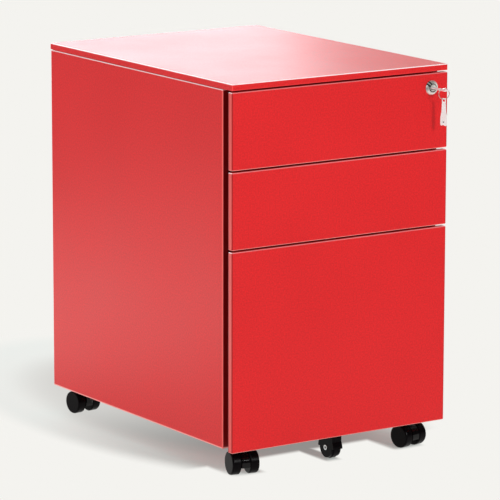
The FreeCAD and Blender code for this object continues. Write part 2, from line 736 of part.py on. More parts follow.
def make_lock_cam():
    """Crank on the plug's tail, with the pin that shifts the lock bar."""
    body = new_body("lock_cam")
    start = cell("barrel_length") + cell("crank_gap")
    end = start + cell("crank_steel")
    pin_at = (crank_swing, crank_swing)
    tail = around(0, cell("tail_half") + FIT / 2)
    add_rod(body, "y", (start, end), (0, 0), cell("plug_radius"))
    add_rod(body, "y", (start, end), pin_at, cell("crank_pin") + cell("crank_eye"))
    slant = cell("crank_web") / math.sqrt(2)
    add_pad(body, "y", start, end, draw_outline,
            [(slant, -slant), (pin_at[0] + slant, pin_at[1] - slant),
             (pin_at[0] - slant, pin_at[1] + slant), (-slant, slant)])
    pin_end = bar_y[1] + steel - front_face
    add_rod(body, "y", (start, pin_end), pin_at, cell("crank_pin"))
    cut_block(body, tail, (start, end), tail)
    place(body, lock_x, front_face, lock_z)
    as_node(body)


def make_lock_key():
    """Flat key in the lock: blade, narrow neck and a rounded bow with the ring's hole."""
    body = new_body("lock_key")
    thick = cell("key_steel") / 2
    reach, bow, neck = cell("key_reach"), cell("key_bow"), cell("key_neck")
    blade, stem, corner = cell("key_blade") / 2, cell("key_stem") / 2, cell("key_corner")
    inner_end = cell("barrel_length") - cell("key_tip")
    shoulder = cell("key_shoulder")
    right_half = [(blade, inner_end), (blade, -cell("bezel_proud") - shoulder / 2),
                  (stem, shoulder - neck), (stem, -neck), (bow - corner, -neck),
                  (bow, -neck - corner), (bow, corner - reach), (bow - corner, -reach)]
    left_half = [(-x, y) for x, y in reversed(right_half)]
    add_pad(body, "z", -thick, thick, draw_outline, right_half + left_half)
    cut_bore(body, "z", (-thick - 1, thick + 1), (0, -cell("key_hole_reach")), cell("key_hole"))
    place(body, lock_x, front_face, lock_z)
    as_node(body)


def ring_place():
    """Where the ring hangs: the middle of the bow's right-hand bridge and the ring's centre."""
    bridge_x = lock_x + (cell("key_hole") + cell("key_bow")) / 2 - cell("ring_side")
    bridge_y = front_face - cell("key_hole_reach") - cell("ring_front")
    hang = cell("ring_radius") - cell("wire_radius") - cell("ring_drop")
    return (bridge_x, bridge_y), lock_z - hang


def make_key_ring():
    """Wire ring through the key's bow."""
    ring = doc.addObject("Part::Torus", "key_ring")
    bind(ring, "Radius1", cell("ring_radius"))
    bind(ring, "Radius2", cell("wire_radius"))
    (x, y), z = ring_place()
    place(ring, x, y, z)
    upright = FreeCAD.Rotation(FreeCAD.Vector(1, 0, 0), 90)
    spun = FreeCAD.Rotation(FreeCAD.Vector(0, 0, 1), RING_TURN)
    ring.Placement = FreeCAD.Placement(ring.Placement.Base, spun * upright)
    as_node(ring, "key_ring")


def make_spare_key():
    """Flat spare key that hangs from the ring, wider and riveted at its lower end."""
    body = new_body("spare_key")
    hole, neck, foot = cell("spare_hole"), cell("spare_neck"), cell("spare_foot")
    thick, corner, length = cell("spare_steel") / 2, cell("spare_corner"), cell("spare_length")
    centre_z = cell("wire_radius") + 1.5 * play - hole
    top = centre_z + hole + cell("spare_rim")
    end = top - length
    right_half = [(neck - corner, top), (neck, top - corner), (cell("spare_waist"), end + length / 2),
                  (foot - corner / 2, end + length / 3.5), (foot, end + length / 6),
                  (foot, end + 2 * corner), (foot - 2 * corner, end)]
    left_half = [(-x, z) for x, z in reversed(right_half)]
    add_pad(body, "y", -thick, thick, draw_outline, right_half + left_half)
    cut_bore(body, "y", (-thick - 1, thick + 1), (0, centre_z), hole)
    proud = cell("rivet_proud")
    for face in (thick, -thick - proud):
        add_rod(body, "y", (face, face + proud), (0, end + cell("rivet_rise")), cell("rivet_radius"))
    (x, y), z = ring_place()
    place(body, x, y, z - cell("ring_radius"), SPARE_TURN)
    as_node(body)


def make_lock_bar(strikes):
    """Vertical bar in the right front corner, with a slotted bracket for the crank and a stud per drawer."""
    body = new_body("lock_bar")
    bottom = strikes[-1] - cell("bar_tail")
    add_block(body, bar_x, bar_y, (bottom, bar_top))
    slot_z = lock_z + crank_swing
    pin = cell("crank_pin")
    wall, reach = cell("slot_wall"), pin + cell("slot_play")
    lap = bar_x[0] + steel
    pin_x = (lock_x + crank_swing, lock_x + cell("crank"))
    add_block(body, (pin_x[0] - pin - wall, lap), bar_y,
              (slot_z - pin - wall, slot_z + pin + cell("slot_roof")))
    cut_block(body, (pin_x[0] - reach, pin_x[1] + reach), bar_y, around(slot_z, reach))
    for strike in strikes:
        centre = (bar_middle_y, strike + cell("strike_height") + cell("stud_lift"))
        add_rod(body, "x", (flange_half - cell("stud_reach"), lap), centre, cell("bar_depth") / 2)
    as_node(body)


def make_bar_guides(levels):
    """Clips on the right side panel that the lock bar slides in."""
    pieces = []
    for k, level in enumerate(levels):
        body = new_body(f"bar_guide_{k + 1}")
        wall = play + cell("guide_steel")
        x_span = (bar_x[0] - wall, inner_half)
        y_span = (bar_y[0] - wall + FIT, bar_y[1] + wall)
        z_span = around(level, cell("guide_half"))
        add_block(body, x_span, y_span, z_span)
        cut_block(body, (bar_x[0] - play, bar_x[1] + play), (bar_y[0] - play, bar_y[1] + play), z_span)
        pieces.append(body)
    grouped(pieces, "lock_bar_guides")


# ---------------------------------------------------------------- castors and anti-tilt wheel

def make_castor(name, x, y, turn):
    """Twin-wheel castor with its hood between the wheels, modelled about its swivel axis.

    The axle trails towards -Y.
    """
    radius, trail = cell("castor_wheel"), cell("castor_trail")
    inner = (cell("castor_track") - cell("castor_tread")) / 2
    outer = inner + cell("castor_tread")
    web = inner - cell("hood_gap")
    hood = new_body(name + "_castor_hood")
    axle_at = (-trail, radius)
    collar_top = case_bottom + steel - cell("socket_steel") - play
    add_rod(hood, "x", around(0, web), axle_at, cell("hood_radius"))
    cut_pocket(hood, "x", -web, web, draw_outline,
               rectangle(-trail - radius, -trail + radius, -radius, cell("hood_lift")))
    add_block(hood, around(0, web), (-trail, 0 * trail), (radius, radius + cell("neck_depth")))
    add_rod(hood, "z", (radius, collar_top), (0, 0), web)
    add_rod(hood, "z", (collar_top - cell("collar_height"), collar_top), (0, 0), cell("collar_radius"))
    stem_top = collar_top + play + cell("stem_length")
    add_rod(hood, "z", (collar_top, stem_top), (0, 0), cell("stem_radius"))
    cut_bore(hood, "x", (-web, web), axle_at, cell("castor_axle"))
    axle = new_body(name + "_castor_axle")
    add_rod(axle, "x", around(0, outer - cell("axle_end")), axle_at, cell("castor_axle"))
    bore, cap = cell("castor_axle") + FIT, outer - cell("wheel_cap")
    soft, rim = cell("tread_round"), cell("rim_round")
    pieces = [hood, axle]
    for suffix, side in (("a", -1), ("b", 1)):
        wheel = new_body(f"{name}_castor_wheel_{suffix}")
        ring = [(inner, bore), (inner, radius - soft), (inner + soft, radius), (outer - rim, radius),
                (outer - rim / 4, radius - rim / 3), (outer, radius - rim), (outer, 0), (cap, 0),
                (cap, bore)]
        add_turned(wheel, "H_Axis", [(side * a, r) for a, r in ring])
        pieces.append(wheel)
    for piece in pieces[:2]:
        place(piece, x, y, 0, turn)
    back = FreeCAD.Rotation(FreeCAD.Vector(0, 0, 1), turn).multVec(FreeCAD.Vector(0, -1, 0))
    for piece in pieces[2:]:
        place(piece, x + trail * back.x, y + trail * back.y, radius, turn)
    for piece in pieces:
        as_node(piece)


def make_anti_tilt_wheel():
    """Hooded fork under the file drawer's front, with a wheel that stops the cabinet tipping."""
    radius, offset, thick = cell("tilt_wheel"), cell("tilt_offset"), cell("fork_steel")
    level = radius + cell("tilt_lift")
    centre = (tilt_y, level)
    half_tread = cell("tilt_tread") / 2
    cheek_in = half_tread + cell("fork_gap")
    cheek_out = cheek_in + cell("fork_cheek")
    width = around(offset, cheek_out)
    roof = case_bottom - cell("fork_drop") - thick
    shell = radius + cell("fork_gap")
    fork = new_body("anti_tilt_fork")
    add_block(fork, around(offset, cell("fork_half")), (front_back, front_back + thick),
              (roof, file_front[0] + cell("fork_lap")))
    add_block(fork, width, (front_back, tilt_y + radius), (roof, roof + thick))
    add_rod(fork, "x", width, centre, shell + cell("fork_hood"))
    add_block(fork, width, around(tilt_y, cell("fork_neck")), (level, roof + thick / 2))
    cut_pocket(fork, "x", *width, draw_outline, rectangle(*around(tilt_y, 2 * radius), -radius, level))
    for side in (-1, 1):
        span = sorted((offset + side * cheek_in, offset + side * cheek_out), key=lambda s: s.value)
        add_rod(fork, "x", span, centre, radius - cell("tread_round"))
    cut_bore(fork, "x", around(offset, cheek_in), centre, shell)
    cut_bore(fork, "x", width, centre, cell("castor_axle"))
    as_node(fork)
    head = cell("axle_head")
    axle = new_body("anti_tilt_axle")
    add_rod(axle, "x", around(offset, cheek_out + head / 2), centre, cell("castor_axle"))
    for side in (-1, 1):
        span = sorted((offset + side * cheek_out, offset + side * (cheek_out + head)), key=lambda s: s.value)
        add_rod(axle, "x", span, centre, cell("castor_axle") + head)
    cut_bore(axle, "x", around(offset, cheek_out + head), centre, cell("castor_axle") - head)
    as_node(axle)
    soft, bore = cell("tread_round"), cell("castor_axle") + FIT
    wheel = new_body("anti_tilt_wheel")
    add_turned(wheel, "H_Axis", [(-half_tread, bore), (-half_tread, radius - soft),
                                 (soft - half_tread, radius), (half_tread - soft, radius),
                                 (half_tread, radius - soft), (half_tread, bore)])
    place(wheel, offset, tilt_y, level)
    as_node(wheel)


# ---------------------------------------------------------------- assembly

def make_case():
    """The fixed case and everything riveted to it."""
    make_top_cover()
    make_top_deck()
    make_side_panel("left_side_panel", -1)
    make_side_panel("right_side_panel", 1)
    make_back_panel()
    make_base_pan()
    make_uprights()
    make_cabinet_screws()
    make_castor_sockets()


def make_drawers():
    """The three drawers with their slides; returns the heights of their lock strikes."""
    strikes = []
    for name, z_span in (("top", top_front), ("middle", middle_front), ("file", file_front)):
        liner = make_drawer_front(name, z_span)
        if name == "file":
            bottom = z_span[0] + cell("file_rise")
            rim_top = z_span[1] - cell("file_rim_drop")
            strike = rim_top + cell("strike_height")
            make_file_slides(bottom + cell("file_slide_rise"))
            make_file_rails(rim_top)
        else:
            bottom = z_span[0] + cell("box_rise")
            rim_top = z_span[1] - box_rim_drop
            level = (bottom + rim_top) / 2
            strike = level + cell("slide_height") / 2 + cell("strike_gap")
            make_box_slides(name, level)
        if name == "top":
            make_pencil_tray(rim_top)
        make_drawer_box(name, (bottom, rim_top))
        grouped([liner, make_strike(name, strike)], name + "_drawer_liner")
        strikes.append(strike)
    return strikes


def make_lock(strikes):
    """The lock, its keys and the bar that holds all three drawers."""
    make_lock_barrel()
    make_lock_nut()
    make_lock_plug()
    make_lock_cam()
    make_lock_key()
    make_key_ring()
    make_spare_key()
    make_lock_bar(strikes)
    make_bar_guides([strike - cell("guide_drop") for strike in strikes])


def check_and_export():
    """Stops on any failed feature or bad shape, then writes one file per sub-part."""
    doc.recompute()
    for thing in doc.Objects:
        if {"Invalid", "Error"} & set(thing.State):
            raise ValueError(f"{thing.Label} failed: {thing.State}")
    os.makedirs("parts", exist_ok=True)
    for thing in nodes:
        if thing.Shape.isNull() or not thing.Shape.isValid():
            raise ValueError(f"{thing.Label} has a bad shape")
        thing.Shape.exportStep(os.path.join("parts", thing.Label + ".step"))
        box = thing.Shape.BoundBox
        print(f"{thing.Label}: {len(thing.Shape.Solids)} solid(s), {thing.Shape.Volume / 1000:.2f} cm3, "
              f"x {box.XMin:.1f}..{box.XMax:.1f} y {box.YMin:.1f}..{box.YMax:.1f} "
              f"z {box.ZMin:.1f}..{box.ZMax:.1f}")
    print(len(nodes), "sub-parts")


make_case()
make_lock(make_drawers())
for place_name, (swivel_x, swivel_y) in castor_places().items():
    make_castor(place_name, swivel_x, swivel_y, CASTOR_TURNS[place_name])
make_anti_tilt_wheel()
check_and_export()
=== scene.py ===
import math

import bmesh
import bpy
from mathutils import Euler, Matrix, Vector


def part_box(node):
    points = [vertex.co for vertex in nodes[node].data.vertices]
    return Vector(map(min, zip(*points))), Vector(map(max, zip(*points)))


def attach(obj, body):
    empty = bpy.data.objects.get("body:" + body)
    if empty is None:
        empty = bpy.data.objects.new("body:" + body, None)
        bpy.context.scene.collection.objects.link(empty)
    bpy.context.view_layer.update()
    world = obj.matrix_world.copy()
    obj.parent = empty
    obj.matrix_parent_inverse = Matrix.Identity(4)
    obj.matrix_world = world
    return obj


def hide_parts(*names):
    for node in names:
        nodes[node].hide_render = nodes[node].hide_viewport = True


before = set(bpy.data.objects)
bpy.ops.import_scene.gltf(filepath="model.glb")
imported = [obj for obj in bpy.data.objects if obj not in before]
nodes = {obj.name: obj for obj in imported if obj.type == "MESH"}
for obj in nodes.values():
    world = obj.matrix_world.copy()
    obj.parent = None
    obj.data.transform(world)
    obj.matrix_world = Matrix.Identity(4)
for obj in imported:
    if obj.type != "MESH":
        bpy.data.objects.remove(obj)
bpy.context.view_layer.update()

# ---------------------------------------------------------------------------- case
# Side panels, back, base pan, top deck and cover: 1 mm sheet steel, folded, then powder coated
# a bright satin red. The baked coat has a fine orange peel. Highlights are painted onto its folds and
# edges, and painted shade darkens the side panels' front flanges and the deck's front edge.

RED = (0.645, 0.0068, 0.0095)
# The colours after RED are painted light: a paler red highlight on edges, a near-white highlight on
# folds that lean up, a pink highlight on folds that lean down and along bottom edges, a sheen on
# left-hand returns, and a bright highlight on the side panels' upright bends.
RED_FOLD_HIGHLIGHT = (0.80, 0.05, 0.052)
RED_CREST_HIGHLIGHT = (1.0, 0.93, 0.94)
RED_LIP_HIGHLIGHT = (1.0, 0.40, 0.36)
RED_FLANK_SHEEN = (0.80, 0.15, 0.135)
RED_EDGE_HIGHLIGHT = (0.98, 0.16, 0.15)
SPECKLE, PEEL, MOTTLE = 400, 420, 9     # grains to the metre
COAT_ROUGHNESS, COAT_IOR = 0.38, 1.38
FOLD_HIGHLIGHT_FADE = (0.0004, 0.0018)            # metres over which the painted edge highlight fades away from an edge
HEM_HIGHLIGHT_FADE = (0.0010, 0.0022)             # metres over which the painted highlight along a bottom edge fades


class Wire:
    """A socket in a finish's node tree. Arithmetic on wires adds Math nodes."""

    def __init__(self, tree, socket=None):
        self.tree = tree
        self.socket = socket

    def add(self, kind, settings, inputs, output=0):
        """Adds a node, sets it up, fills its sockets with values or links, and gives one output."""
        node = self.tree.nodes.new("ShaderNode" + kind)
        for name, value in settings.items():
            setattr(node, name, value)
        for name, value in inputs.items():
            if isinstance(value, Wire):
                self.tree.links.new(value.socket, node.inputs[name])
            else:
                node.inputs[name].default_value = value
        return Wire(self.tree, node.outputs[output] if node.outputs else None)

    def maths(self, operation, *terms):
        return self.add("Math", {"operation": operation}, dict(enumerate(terms)))

    def __add__(self, other):
        return self.maths("ADD", self, other)

    def __sub__(self, other):
        return self.maths("SUBTRACT", self, other)

    def __rsub__(self, other):
        return self.maths("SUBTRACT", other, self)

    def __mul__(self, other):
        return self.maths("MULTIPLY", self, other)

    def __pow__(self, other):
        return self.maths("POWER", self, other)

    def __abs__(self):
        return self.maths("ABSOLUTE", self)

    __radd__ = __add__
    __rmul__ = __mul__

    def least(self, other):
        return self.maths("MINIMUM", self, other)

    def most(self, other):
        return self.maths("MAXIMUM", self, other)

    def rise(self, low, high):
        """0 below low and 1 above high, smooth in between."""
        return self.add("MapRange", {"interpolation_type": "SMOOTHSTEP"},
                        {"Value": self, "From Min": low, "From Max": high})

    def axis(self, index):
        """One coordinate of a place."""
        return self.add("SeparateXYZ", {}, {"Vector": self}, index)

    def noise(self, scale, detail=2.0, distortion=0.0):
        """Soft noise over a place, about 0.5, with scale features to the metre."""
        return self.add("TexNoise", {}, {"Vector": self, "Scale": scale, "Detail": detail,
                                         "Distortion": distortion})

    def stretched(self, scale):
        """A place whose axes are scaled, which draws its patterns out along the small ones."""
        return self.add("Mapping", {}, {"Vector": self, "Scale": scale})

    def blend(self, first, second):
        """A colour from first, where the wire is 0, to second, where it is 1."""
        return self.add("Mix", {"data_type": "RGBA"}, {0: self, 6: rgba(first), 7: rgba(second)}, 2)

    def bump(self, depth):
        """A normal from a height of 0 to 1, depth metres deep."""
        return self.add("Bump", {}, {"Height": self, "Distance": depth, "Strength": 1.0}, "Normal")


def rgba(colour):
    """A colour value with its alpha, or a colour wire as it is."""
    return colour if isinstance(colour, Wire) else (*colour, 1.0)


def new_finish(name):
    """An empty material, and a wire that carries the place on the piece in metres."""
    material = bpy.data.materials.new(name)
    material.use_nodes = True
    material.node_tree.nodes.clear()
    return material, Wire(material.node_tree).add("TexCoord", {}, {}, "Object")


def set_surface(place, sockets):
    """Closes a finish with its shader and output."""
    shader = place.add("BsdfPrincipled", {}, sockets)
    place.add("OutputMaterial", {}, {"Surface": shader})


def scaled(colour, share):
    """A colour value made lighter or darker."""
    return tuple(share * part for part in colour)


def edge_distance(place, low, high):
    """How far a place on a box's skin is from the box's nearest edge."""
    x, y, z = ((place.axis(k) - low[k]).least(high[k] - place.axis(k)) for k in range(3))
    return x.least(y).most(x.most(y).least(z))


def powder_coat(name, node, shaded=None, front_share=0.0, bend_light_and_shade=RED_FOLD_HIGHLIGHT, flank_sheen=0.0, hem_highlight=0.0):
    """Satin powder coat for one folded piece: speckle, slow mottling, orange peel, and painted
    highlights on its folds and edges.

    A near-white highlight is painted on the folds that lean up, a pink one on the folds that lean
    down, and a paler red one along the edges. front_share takes the painted near-white highlight off
    folds that face the front. shaded gives the share of the colour left where shade is painted in,
    1 to 0. bend_light_and_shade is the colour painted on the upright bends: a highlight on most pieces
    and a shade on the drawer fronts. flank_sheen is the share of a painted sheen on the left-hand
    returns, and hem_highlight the share of a painted highlight along the bottom edge.
    """
    material, place = new_finish(name)
    speckle = place.noise(SPECKLE, 3.0)
    mottle = place.noise(MOTTLE, 3.0)
    peel = place.noise(PEEL, 2.0)
    bare = place.add("NewGeometry", {}, {}, "Normal")
    lean, facing, up = (bare.axis(k) for k in range(3))
    # Painted highlights: near-white on the folds that lean up, pink on the folds that lean down.
    crest_highlight = up.rise(0.3, 0.6) * (1 - up.rise(0.95, 0.995))
    crest_highlight = crest_highlight * (1 - (0 - facing).rise(0.15, 0.4) * front_share)
    lip_highlight = (0 - up).rise(0.25, 0.5) * (1 - (0 - up).rise(0.93, 0.99))
    # The upright bends take a painted colour: a highlight on most pieces and a shade on the drawer
    # fronts.
    bend = abs(lean * facing).rise(0.1, 0.3)
    # A painted sheen on the returns that face left.
    marks_and_sheen = (0 - lean).rise(0.93, 0.99) * flank_sheen
    # A painted paler red highlight along the piece's edges, uneven with the mottling.
    fold_highlight = 1 - edge_distance(place, *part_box(node)).rise(*FOLD_HIGHLIGHT_FADE)
    shade = 0.5 + (speckle - 0.5) * 2.6 + (mottle - 0.5) * 0.35
    body = shade.blend(scaled(RED, 0.86), scaled(RED, 1.14))
    if flank_sheen:
        body = marks_and_sheen.blend(body, RED_FLANK_SHEEN)
    # Painted shade where the piece lies deep in a recess.
    if shaded:
        body = shaded(place).blend(scaled(RED, 0.2), body)
    edge_lit = (fold_highlight * (0.2 + mottle * 0.3)).blend(body, RED_FOLD_HIGHLIGHT)
    # A painted highlight along the bottom edge, in the pink of the folds that lean down.
    if hem_highlight:
        hem_lit = (1 - (place.axis(2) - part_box(node)[0][2]).rise(*HEM_HIGHLIGHT_FADE)) * hem_highlight
        edge_lit = hem_lit.blend(edge_lit, RED_LIP_HIGHLIGHT)
    lower = (lip_highlight * 0.7).blend((bend * 0.9).blend(edge_lit, bend_light_and_shade), RED_LIP_HIGHLIGHT)
    set_surface(place, {
        "Base Color": (crest_highlight * 0.93).blend(lower, RED_CREST_HIGHLIGHT),
        "Roughness": COAT_ROUGHNESS + (mottle - 0.5) * 0.08 + (speckle - 0.5) * 0.08,
        "Normal": (peel * 0.6 + speckle * 0.4).bump(0.0001),
        "IOR": COAT_IOR,
    })
    return material


def coat(names, material):
    """Gives carried-over steel and plastic pieces their finish."""
    for name in names:
        for slot in nodes[name].material_slots:
            slot.material = material


case_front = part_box("left_side_panel")[0][1]
front_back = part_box("file_drawer_front")[1][1]


def flange_shade(place):
    """Painted shade on the panels' front flanges, deep in the finger recess."""
    return 0.12 + place.axis(1).rise(case_front + 0.0003, case_front + 0.0015) * 0.88


def deck_shade(place):
    """Painted shade on the deck's front edge, behind the gap under the cover."""
    return 0.1 + place.axis(1).rise(case_front + 0.02, case_front + 0.05) * 0.9


# The top deck's front edge gets painted shade.
for skin in ("top_cover", "top_deck", "back_panel", "base_pan"):
    coat([skin], powder_coat(skin + "_coat", skin, deck_shade if skin == "top_deck" else None))
# The side panels get painted shade on their front flanges, and painted highlights on their upright bends
# and along their bottom edges.
for skin in ("left_side_panel", "right_side_panel"):
    coat([skin], powder_coat(skin + "_coat", skin, flange_shade, bend_light_and_shade=RED_EDGE_HIGHLIGHT, hem_highlight=0.8))

# ---------------------------------------------------------------------------- uprights and slides
# Hat-section uprights and roll-formed ball slides: bright zinc-plated steel, drawn out along
# their length by the rollers, spot welded to the side panels and riveted to the drawer boxes.

ZINC = (0.60, 0.61, 0.63)
ZINC_WARM = (0.66, 0.63, 0.56)


def zinc_plate(name, along, roughness=0.34):
    """Bright zinc: a rolled grain drawn out along one axis, and a faint cloudy passivation."""
    material, place = new_finish(name)
    stretch = tuple(40.0 if k == along else 2600.0 for k in range(3))
    grain = place.stretched(stretch).noise(1.0, 3.0)
    cloud = place.noise(45, 3.0, 0.6)
    set_surface(place, {
        "Base Color": cloud.rise(0.42, 0.68).blend(ZINC, ZINC_WARM),
        "Metallic": 1.0,
        "Roughness": roughness + (grain - 0.5) * 0.22 + (cloud - 0.5) * 0.12,
        "Normal": grain.bump(0.000012),
    })
    return material


zinc_along = [zinc_plate(f"zinc_plate_{name}", k) for k, name in enumerate("xyz")]
coat(["slide_uprights"], zinc_along[2])
for drawer in ("top", "middle"):
    coat([f"{drawer}_slide_{part}" for part in ("outers", "cages", "inners")], zinc_along[1])
coat([f"file_slide_{part}" for part in ("outers", "outer_cages", "middles", "inner_cages", "inners")],
     zinc_along[1])

# ---------------------------------------------------------------------------- drawers
# Each drawer is a folded and painted box behind a pan-shaped front. The front's edges are rounded
# in the press, and a stepped liner closes its back. Fingers pull it by its left or right edge.

DRAWERS = ("top", "middle", "file")


def return_shade(place):
    """Painted shade on the rear returns of a front, deep in the finger recess."""
    return 1 - place.axis(1).rise(front_back - 0.003, front_back - 0.0005) * 0.85


# Fronts and liners get painted shade on their rear returns.
for drawer in DRAWERS:
    for part, shaded in (("front", return_shade), ("liner", return_shade), ("box", None)):
        node = f"{drawer}_drawer_{part}"
        # The fronts' upright bends are painted darker as shade, and their left-hand returns get a
        # painted sheen; the liners' and boxes' bends get the paler red painted highlight.
        bend_light_and_shade, flank_sheen = (scaled(RED, 0.5), 0.6) if part == "front" else (RED_FOLD_HIGHLIGHT, 0.0)
        coat([node], powder_coat(node + "_coat", node, shaded, 0.75, bend_light_and_shade, flank_sheen))

# ---------------------------------------------------------------------------- tray and file rails
# The tray is injection moulded in black polystyrene with a leather grain, and lifts off the top
# drawer's rim. The file drawer's rim carries two zinc-plated rails for hanging folders.

TRAY_BLACK = (0.024, 0.024, 0.026)


def grained_plastic(name, colour, grain_scale, roughness):
    """Moulded plastic with a pebbled grain and faint handling marks."""
    material, place = new_finish(name)
    pebble = place.add("TexVoronoi", {"feature": "SMOOTH_F1"},
                       {"Vector": place, "Scale": grain_scale, "Smoothness": 0.4})
    marks_and_sheen = place.noise(38, 4.0, 0.5)
    set_surface(place, {
        "Base Color": marks_and_sheen.rise(0.35, 0.8).blend(colour, scaled(colour, 1.7)),
        "Roughness": roughness + (marks_and_sheen - 0.5) * 0.2,
        "Normal": pebble.bump(0.00005),
    })
    return material


coat(["pencil_tray"], grained_plastic("black_tray_grain", TRAY_BLACK, 1300, 0.52))
coat(["hanging_file_rails"], zinc_along[1])

# ---------------------------------------------------------------------------- lock
# Die-cast cam lock in bright chrome: a domed bezel, the plug with its keyway, and behind the
# drawer front a zinc-plated nut and crank that shift the lock bar.

CHROME = (0.93, 0.90, 0.85)
# SEAM_DARK is painted in for shade and grease on the lock's face.
SEAM_DARK = (0.012, 0.011, 0.011)
barrel_low, barrel_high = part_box("lock_barrel")
barrel_x, barrel_z = ((barrel_low[k] + barrel_high[k]) / 2 for k in (0, 2))
plug_low, plug_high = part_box("lock_plug")
plug_radius = (plug_high[0] - plug_low[0]) / 2
# Soft edges: the metres at which each mark starts to fade and has gone.
SEAM_HALF = (0.0004, 0.0010)
KEYWAY_HALF, KEYWAY_REACH = (0.0012, 0.0022), (0.0042, 0.0052)
NOTCH_OFFSET, NOTCH_HALF, NOTCH_START = 0.0030, (0.0013, 0.0021), (0.0056, 0.0064)


def lock_seams_and_shade(place):
    """Dark marks painted on the lock's face: the gap round the plug as shade and grease, the keyway's
    mouth as shade, two notches in the bezel's upper left, and that side of the bezel painted darker
    as a darker reflection."""
    across, rise = place.axis(0) - barrel_x, place.axis(2) - barrel_z
    far = (across * across + rise * rise) ** 0.5
    # Painted dark: the gap round the plug, as shade and grease, and the keyway's mouth, as shade.
    round_plug = 1 - abs(far - plug_radius).rise(*SEAM_HALF)
    keyway = (1 - abs(rise + 0.0008).rise(*KEYWAY_HALF)) * (1 - far.rise(*KEYWAY_REACH))
    slant = abs(across + rise * 0.9 + 0.0006)
    corner = (rise - across).rise(0.005, 0.008)
    notches = (1 - abs(slant - NOTCH_OFFSET).rise(*NOTCH_HALF)) * far.rise(*NOTCH_START) * corner
    # The bezel's upper-left side painted darker, standing in for a darker reflection.
    painted_dark_side = (rise - across).rise(-0.003, 0.010) * 0.6
    return round_plug.most(keyway).most(notches).most(painted_dark_side)


def chrome_plate(name, roughness=0.07, seams_and_shade=None, shine=1.0):
    """Chrome with polishing swirls and fingerprints, and the dark marks that seams_and_shade paints in,
    when given: grease and shade in the gaps, and a darker reflection. shine is how much of it
    mirrors; the rest is a cloudy cast."""
    material, place = new_finish(name)
    swirl = place.noise(5200, 3.0, 1.5)
    print_haze = place.noise(240, 4.0, 1.2).rise(0.48, 0.72)
    bright = print_haze.blend(CHROME, scaled(CHROME, 0.9))
    set_surface(place, {
        "Base Color": seams_and_shade(place).blend(bright, SEAM_DARK) if seams_and_shade else bright,
        "Metallic": shine - print_haze * 0.1,
        "Roughness": roughness + print_haze * 0.12 + (swirl - 0.5) * 0.06,
        "Normal": swirl.bump(0.000004),
    })
    return material


coat(["lock_barrel", "lock_plug"], chrome_plate("chrome_plate_lock", 0.1, lock_seams_and_shade, 0.45))
coat(["lock_nut", "lock_cam"], zinc_along[0])

# ---------------------------------------------------------------------------- keys and key ring
# Two flat keys stamped from nickel-plated brass, each with a milled groove along its blade. One is
# in the lock; the spare hangs from its bow on a sprung ring of hard wire wound twice.

NICKEL = (0.93, 0.92, 0.92)
NICKEL_WORN = (0.80, 0.77, 0.75)
KEY_EDGE = 0.00016
SHARP_TURN = 0.7        # radians between two faces that still shade as one


def nickel_plate(name, roughness, metal):
    """Soft bright nickel: rolled lines across the key and tarnish in patches."""
    material, place = new_finish(name)
    lines = place.stretched((900.0, 900.0, 5200.0)).noise(1.0, 3.0)
    tarnish = place.noise(420, 4.0, 1.0).rise(0.5, 0.75)
    set_surface(place, {
        "Base Color": tarnish.blend(NICKEL, NICKEL_WORN),
        "Metallic": metal + tarnish * 0.1,
        "Roughness": roughness + (lines - 0.5) * 0.14 + tarnish * 0.1,
        "Normal": lines.bump(0.00001),
    })
    return material


def node_places(node):
    """The corner places of a carried-over piece."""
    return [vertex.co.copy() for vertex in nodes[node].data.vertices]


def new_piece(name, shape):
    """Puts finished mesh data into the scene as an object."""
    mesh = bpy.data.meshes.new(name)
    shape.to_mesh(mesh)
    shape.free()
    piece = bpy.data.objects.new(name, mesh)
    bpy.context.scene.collection.objects.link(piece)
    return piece


def apply_modifiers(piece):
    """Replaces a piece's mesh with the one that its modifiers make of it."""
    seen = piece.evaluated_get(bpy.context.evaluated_depsgraph_get())
    made = bpy.data.meshes.new_from_object(seen)
    piece.modifiers.clear()
    piece.data = made


def raise_faces(shape, faces, height):
    """Extrudes flat faces straight up."""
    raised = bmesh.ops.extrude_face_region(shape, geom=faces)["geom"]
    tops = [part for part in raised if isinstance(part, bmesh.types.BMVert)]
    bmesh.ops.translate(shape, verts=tops, vec=(0, 0, height))


def flat_piece(name, outline, holes, thickness, aim, body, finish, grooves=()):
    """A stamped sheet piece with softened edges, its outline in its own plane, laid by the matrix aim.

    holes are (across, along, radius), and grooves are (across, low, high, half width, depth).
    """
    shape = bmesh.new()
    rim = [shape.verts.new((x, y, 0)) for x, y in outline]
    edges = [shape.edges.new((rim[k - 1], rim[k])) for k in range(len(rim))]
    for x, y, radius in holes:
        ring = [shape.verts.new((x + radius * math.cos(t), y + radius * math.sin(t), 0))
                for t in (math.tau * k / 28 for k in range(28))]
        edges += [shape.edges.new((ring[k - 1], ring[k])) for k in range(28)]
    bmesh.ops.triangle_fill(shape, use_beauty=True, use_dissolve=True, edges=edges)
    raise_faces(shape, shape.faces[:], thickness)
    bmesh.ops.translate(shape, verts=shape.verts, vec=(0, 0, -thickness / 2))
    bmesh.ops.recalc_face_normals(shape, faces=shape.faces)
    piece = new_piece(name, shape)
    for x, low, high, half, depth in grooves:
        for side in (-1, 1):
            mill_groove(piece, x, low, high, half, side * thickness / 2, depth)
    soften = piece.modifiers.new("softened edges", "BEVEL")
    soften.width = KEY_EDGE
    soften.segments = 2
    soften.limit_method = "ANGLE"
    apply_modifiers(piece)
    piece.data.transform(aim)
    piece.data.materials.clear()
    piece.data.materials.append(finish)
    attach(piece, body)
    return piece


